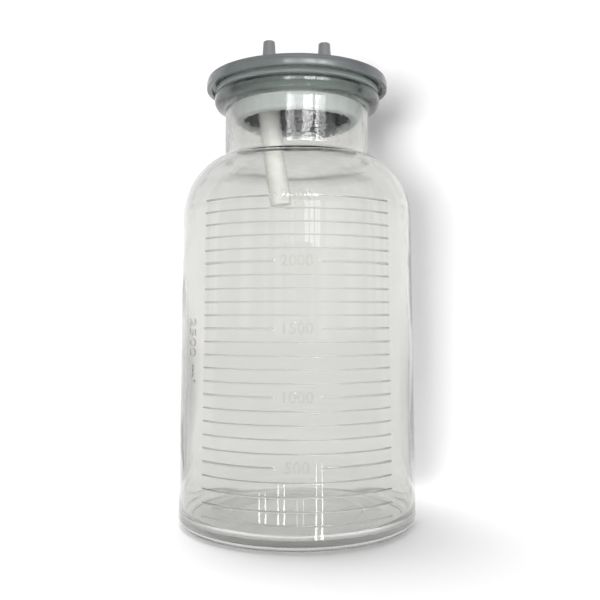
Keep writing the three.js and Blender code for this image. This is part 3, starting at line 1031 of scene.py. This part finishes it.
PANE_DISTANCE = 1.6
HIGH_PART_DEG = (13.6, 21.5)  # how high the two parts of each window pane stand
LOW_PART_DEG = (3.5, 11)
WINDOW_PANES = (
    # from and to in degrees of azimuth, brightness of the high and of the low part
    (-14, -8, 15, 0.8),
    (-7, -2.5, 8, 0.8),
    (-0.5, 6.5, 4, 0.8),
    (7.5, 11.5, 18, 3.4),
    (12.5, 16, 18, 3.8),
    (17, 22, 16, 3.2),
    (27, 34, 17, 0.9),
    (35, 45, 7, 0.9),
)
TABLE_STRIPS = (
    # where on the glass each double streak stands, in degrees, its reach, and its brightness
    (-14.6, 54 * MM, 127 * MM, 12),
    (-6.7, 54 * MM, 164 * MM, 14),
    (1.3, 48 * MM, 118 * MM, 4),
    (9.4, 18 * MM, 235 * MM, 14),
)
STRIP_PAIR_DEG = 1.3
STRIP_WIDTH = 2.5 * MM

# These are lit as through glass wherever they are, so that they look the same lifted out
INSIDE_THE_JAR = ("silicone_stopper", "silicone_drop_tube", "valve_housing_body",
                  "valve_seat_disc", "valve_float_plug", "valve_cap_hex", "inlet_locknut",
                  "vacuum_locknut")
OF_GLASS = ("glass_jar_body", "jar_numerals")
THROUGH_GLASS = 0.53


def build_camera():
    data = bpy.data.cameras.new("camera")
    data.sensor_width = SENSOR
    data.lens = SENSOR * FOCAL_PIXELS / FRAME_PIXELS
    data.clip_start, data.clip_end = 0.02, 50
    camera = bpy.data.objects.new("camera", data)
    camera.location = CAMERA_PLACE
    camera.rotation_euler = (math.radians(90 + CAMERA_PITCH_DEG), 0, 0)
    bpy.context.scene.collection.objects.link(camera)
    bpy.context.scene.camera = camera
    shift_at_home(camera, "shift_x", SHIFT_X)
    shift_at_home(camera, "shift_y", SHIFT_Y)


def shift_at_home(camera, channel, shift):
    """Shifts the lens only while the camera stands in its own place, so other views centre."""
    driver = camera.data.driver_add(channel).driver
    driver.type = "SCRIPTED"
    for name, axis in (("x", "LOC_X"), ("y", "LOC_Y")):
        variable = driver.variables.new()
        variable.name = name
        variable.type = "TRANSFORMS"
        variable.targets[0].id = camera
        variable.targets[0].transform_type = axis
        variable.targets[0].transform_space = "WORLD_SPACE"
    near = f"abs(x - {CAMERA_PLACE.x:.4f}) < 0.002 and abs(y - {CAMERA_PLACE.y:.4f}) < 0.002"
    driver.expression = f"{shift} if {near} else 0"


def stage_material(name, tone, distance, one_sided):
    """White card for the camera; through the glass it glows with a tone of its own, into which
    light and shade are painted.

    Past SEEN_REACH from the jar it isn't there for rays that come through the glass.
    """
    material = bpy.data.materials.new(name)
    nodes = Nodes(material)
    white = nodes.add("ShaderNodeBsdfDiffuse", Color=grey(0.86)).outputs[0]
    clear = nodes.add("ShaderNodeBsdfTransparent").outputs[0]
    geometry = nodes.add("ShaderNodeNewGeometry")
    place = geometry.outputs["Position"]
    # Through the glass the card glows like a lamp, with painted light and shade.
    shown = nodes.add("ShaderNodeEmission", Color=tone(nodes, place)).outputs[0]
    far = nodes.ramp(distance(nodes, place), SEEN_REACH, SEEN_REACH + 0.03)
    through = nodes.mix_shader(far, shown, clear)
    shader = nodes.mix_shader(nodes.path("Is Transmission Ray"), white, through)
    if one_sided:
        shader = nodes.mix_shader(geometry.outputs["Backfacing"], shader, clear)
    nodes.finish(shader)
    return material


def sideways(nodes, place):
    return nodes.maths("ABSOLUTE", nodes.split(place)[0])


def from_centre(nodes, place):
    x, y, z = nodes.split(place)
    return nodes.hypotenuse(x, y)


def wall_tone(nodes, place):
    """Painted light and shade: brightest at half the jar's height, darker to the sides, with a
    soft painted dark patch at left.
    """
    x, y, height = nodes.split(place)
    # Painted light and shade by height.
    rise = nodes.tones(height, 0.0, 0.5, (
        (0.0, WALL_TONE * 0.84), (0.03, WALL_TONE * 0.94), (0.08, WALL_TONE), (0.19, WALL_TONE),
        (0.25, WALL_TONE * 0.88), (0.32, WALL_TONE * 0.66), (0.5, WALL_TONE * 0.45)))
    warm = nodes.mix_colour(nodes.noise(9.0, 2.0, 0.4, place), (1.0, 0.985, 0.955, 1),
                            (0.95, 0.955, 0.96, 1))
    # Painted shade: a soft dark patch at left.
    across = nodes.times(nodes.maths("ADD", x, 0.105), 1 / 0.028)
    upward = nodes.times(nodes.maths("SUBTRACT", height, 0.072), 1 / 0.05)
    patch = nodes.ramp(nodes.hypotenuse(across, upward), 0.1, 1.0, 0.45, 1.0)
    # Painted shade: darker to the sides, more so near the foot.
    beside_foot = nodes.tones(sideways(nodes, place), 0.0, 0.25, (
        (0.0, 1.0), (0.085, 1.0), (0.105, 0.7), (0.13, 0.5), (0.2, 0.35)))
    higher_up = nodes.tones(x, -0.25, 0.25, (
        (-0.2, 0.72), (-0.12, 0.9), (-0.085, 1.0), (0.085, 1.0), (0.12, 0.97), (0.2, 0.95)))
    aside = nodes.mix_colour(nodes.ramp(height, 0.09, 0.14), beside_foot, higher_up)
    return nodes.mix_colour(nodes.times(patch, rise, aside), grey(0.0), warm)


def floor_tone(nodes, place):
    """Painted light and shade: a painted shadow under the jar, painted shade at the table's far
    edge, and a painted bright rim along the near side of the jar's foot.
    """
    x, y, z = nodes.split(place)
    # Painted shade at the table's far edge.
    near_wall = nodes.tones(y, 0.0, 0.1, (
        (TABLE_END_Y - 8 * MM, TABLE_TONE), (TABLE_END_Y, TABLE_EDGE_SHADE),
        (TABLE_END_Y + 7 * MM, WALL_TONE * 0.84)))
    distance = nodes.hypotenuse(x, y)
    # Painted shadow of the jar on the table under it.
    under = nodes.tones(distance, 0.0, 0.1, ((0.04, 0.72), (0.058, 0.80), (0.064, 1.0)))
    # Painted light: a bright rim in front of the jar's foot.
    at_heel = nodes.tones(distance, 0.0, 0.1, (
        (0.04, 0.72), (0.058, 0.78), (0.064, 1.0), (0.068, 1.5), (0.078, 1.0)))
    in_front = nodes.ramp(y, -45 * MM, -20 * MM, 1.0, 0.0)
    under = nodes.mix_colour(in_front, under, at_heel)
    return nodes.mix_colour(nodes.times(under, near_wall), grey(0.0), (0.995, 1.0, 0.97, 1))


def card(name, corners, material):
    """One flat card of the stage, cut to an outline."""
    mesh = bpy.data.meshes.new(name)
    mesh.from_pydata(corners, [], [tuple(range(len(corners)))])
    mesh.materials.append(material)
    piece = bpy.data.objects.new(name, mesh)
    bpy.context.scene.collection.objects.link(piece)
    return piece


def build_stage():
    reach, wide, tall, foot = 4, 0.8, 1.0, -FLOOR_DROP
    floor = card("floor", [(-reach, -reach, foot), (reach, -reach, foot), (reach, reach, foot),
                           (-reach, reach, foot)],
                 stage_material("floor_card", floor_tone, from_centre, False))
    wall = card("backdrop", [(-wide, BACKDROP_Y, foot), (wide, BACKDROP_Y, foot),
                             (wide, BACKDROP_Y, tall), (-wide, BACKDROP_Y, tall)],
                stage_material("backdrop_card", wall_tone, sideways, True))
    return floor, wall


def area_light(name, place, target, width, height, watts, seen_in_gloss=False, lights_matt=True):
    data = bpy.data.lights.new(name, "AREA")
    data.shape = "RECTANGLE"
    data.size, data.size_y = width, height
    data.energy = watts
    light = bpy.data.objects.new(name, data)
    light.location = place
    light.rotation_euler = (Vector(target) - Vector(place)).to_track_quat("-Z", "Y").to_euler()
    light.visible_camera = False
    light.visible_glossy = seen_in_gloss
    light.visible_transmission = False
    light.visible_diffuse = lights_matt
    bpy.context.scene.collection.objects.link(light)
    return light


def only_for(light, receivers, blockers):
    """Lets a lamp light some objects only, and lets only some objects block it."""
    for attribute, members in (("receiver_collection", receivers),
                               ("blocker_collection", blockers)):
        group = bpy.data.collections.new(light.name + "_" + attribute)
        for member in members:
            group.objects.link(member)
        setattr(light.light_linking, attribute, group)


def build_lights(floor, wall, pieces):
    """Lamps of their own for the wall, the floor, the outer pieces and the ones in the jar."""
    middle = (0, 0, 0.15)
    on_wall = area_light("wall_lamp", (-0.47, -1.36, 0.05), middle, 0.42, 0.42, 21)
    only_for(on_wall, [wall], pieces)
    on_floor = area_light("floor_lamp", (-0.16, 0.10, 1.3), middle, 0.85, 0.85, 18)
    only_for(on_floor, [floor], pieces)
    inside = [piece for piece in pieces if piece.name in INSIDE_THE_JAR]
    outside = [piece for piece in pieces if piece.name not in INSIDE_THE_JAR]
    solid = [piece for piece in pieces if piece.name not in OF_GLASS]
    for name, place, size, watts in (("key_lamp", (-0.9, -1.3, 0.75), 0.8, 17),
                                     ("fill_lamp", (0.9, -1.2, 0.3), 0.8, 24),
                                     ("table_glow", (-0.2, -0.6, -0.3), 0.5, 5),
                                     ("back_lamp", (0.3, 1.0, 0.7), 0.6, 8)):
        only_for(area_light(name, place, middle, size, size, watts), outside, pieces)
        dimmed = watts * THROUGH_GLASS
        inner = area_light("inner_" + name, place, middle, size, size, dimmed)
        only_for(inner, inside, solid)
    for from_deg, to_deg, high, low in WINDOW_PANES:
        window_pane(from_deg, to_deg, *HIGH_PART_DEG, high)
        window_pane(from_deg, to_deg, *LOW_PART_DEG, low)
    for place_deg, near, far, radiance in TABLE_STRIPS:
        table_strip(place_deg - STRIP_PAIR_DEG, near, far, radiance)
        table_strip(place_deg + STRIP_PAIR_DEG, near, far, radiance)


def direction_from(azimuth_deg, elevation_deg=0.0):
    """Unit vector from the jar; azimuth 0 is -Y, the camera's side, and +X is 90."""
    azimuth, elevation = math.radians(azimuth_deg), math.radians(elevation_deg)
    return Vector((math.sin(azimuth) * math.cos(elevation),
                   -math.cos(azimuth) * math.cos(elevation), math.sin(elevation)))


def window_pane(from_deg, to_deg, low_deg, high_deg, brightness):
    """A tall pale pane that only shows as a reflection."""
    target = Vector((0, 0, 0.2))
    width = PANE_DISTANCE * math.radians(to_deg - from_deg)
    height = PANE_DISTANCE * math.radians(high_deg - low_deg)
    toward = direction_from((from_deg + to_deg) / 2, (low_deg + high_deg) / 2)
    watts = brightness * math.pi * width * height
    area_light("window_pane", target + PANE_DISTANCE * toward, target, width, height, watts,
               True, False)


def table_strip(place_deg, near, far, radiance):
    """A thin bright strip on the table, whose reflection stands upright in the camera's view."""
    foot = direction_from(place_deg) * JAR_R
    seen_from = math.atan2(foot.x, foot.y - CAMERA_PLACE.y)
    toward = direction_from(2 * place_deg + math.degrees(seen_from))
    middle = foot + toward * ((near + far) / 2) + Vector((0, 0, MM))
    length = far - near
    light = area_light("table_strip", middle, middle + Vector((0, 0, 1)), STRIP_WIDTH, length,
                       radiance * math.pi * STRIP_WIDTH * length, True, False)
    light.rotation_euler = (math.pi, 0, math.atan2(-toward.x, toward.y))


def build_world():
    """White for the camera, a banded room for reflections, and a dim one through the glass."""
    world = bpy.data.worlds.new("studio")
    bpy.context.scene.world = world
    nodes = Nodes(world)
    direction = nodes.add("ShaderNodeTexCoord").outputs["Generated"]
    x, y, z = nodes.split(direction)
    room = nodes.tones(z, -0.5, 0.5, (
        (-0.25, 0.50), (-0.17, 0.22), (-0.04, 0.22), (0.0, 0.50), (0.13, 0.60), (0.24, 0.16)))
    stretched = nodes.add("ShaderNodeCombineXYZ", X=x, Y=y, Z=nodes.times(z, 0.15))
    bands = nodes.noise(7.0, 3.0, 0.5, stretched.outputs[0])
    mirrored = nodes.ramp(bands, 0.42, 0.68, 0.12, 1.3)
    tone = nodes.mix_colour(nodes.path("Is Glossy Ray"), grey(0.34), mirrored)
    tone = nodes.mix_colour(nodes.path("Is Transmission Ray"), tone, room)
    tone = nodes.mix_colour(nodes.path("Is Camera Ray"), tone, grey(1.1))
    background = nodes.add("ShaderNodeBackground", Color=tone, Strength=1.0)
    nodes.finish(background.outputs[0], "ShaderNodeOutputWorld")


def set_look():
    scene = bpy.context.scene
    scene.view_settings.view_transform = "Standard"
    scene.view_settings.look = "None"
    scene.cycles.max_bounces = 24
    scene.cycles.transmission_bounces = 20
    scene.cycles.transparent_max_bounces = 24
    scene.cycles.caustics_reflective = False
    scene.cycles.caustics_refractive = True
    scene.cycles.sample_clamp_indirect = 3.0


build_object()
visible = [obj for obj in bpy.context.scene.objects if obj.type == "MESH"]
floor_card, wall_card = build_stage()
build_camera()
build_lights(floor_card, wall_card, visible)
build_world()
set_look()
